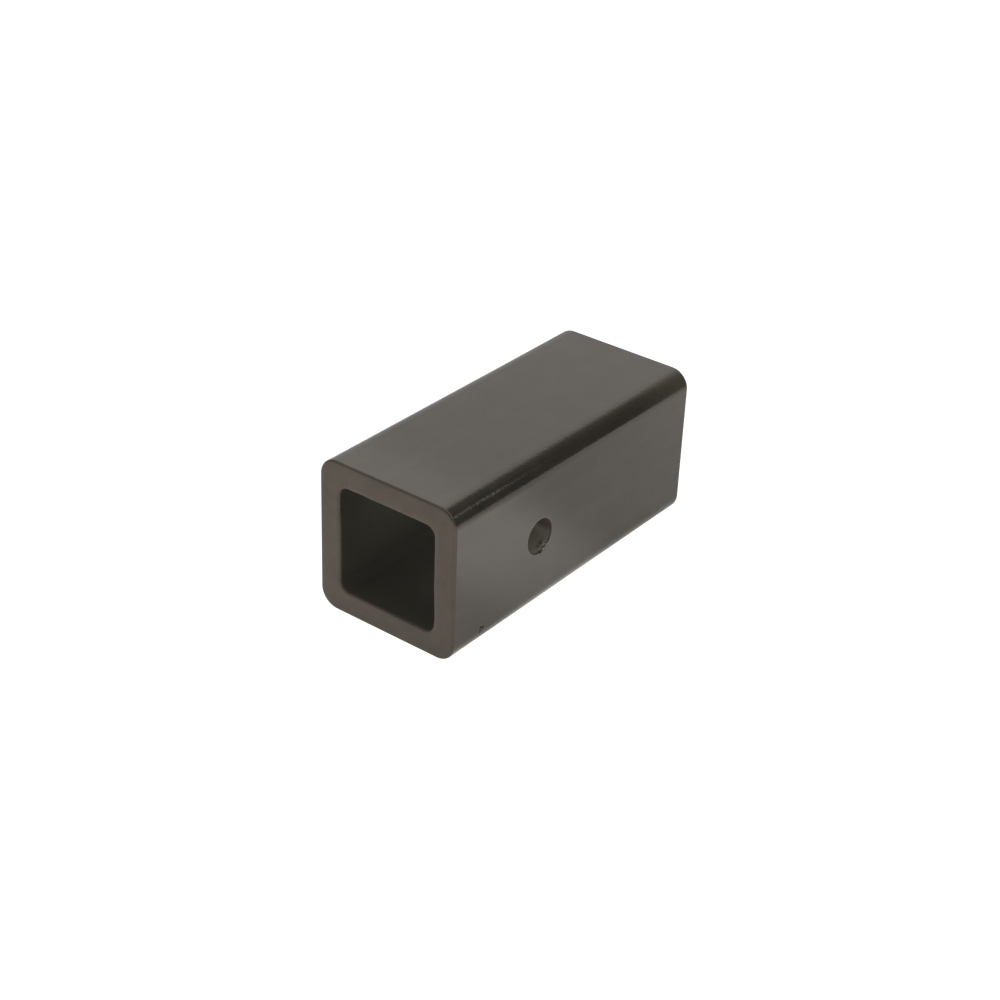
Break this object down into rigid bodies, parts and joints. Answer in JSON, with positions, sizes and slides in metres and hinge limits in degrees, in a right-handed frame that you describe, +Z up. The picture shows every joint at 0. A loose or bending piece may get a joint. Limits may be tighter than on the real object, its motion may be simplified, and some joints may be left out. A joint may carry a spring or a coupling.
{
  "type": "hitch receiver adapter",
  "caption": "Short length of thick square steel tube, drilled across for a hitch pin, that steps a large hitch receiver down to a smaller square socket.",
  "frame": {"origin": "where the axis of the pin hole crosses the axis of the tube", "axes": "+Y along the tube from the front end, where the shank goes in, to the back end; +X along the pin hole; +Z up"},
  "size_m": [0.0762, 0.174, 0.0762],
  "materials": {
    "black_paint": "semi-gloss warm black paint with a faint orange peel"
  },
  "bodies": {
    "root": {"receiver_adapter_tube": "black_paint"}
  },
  "joints": []
}
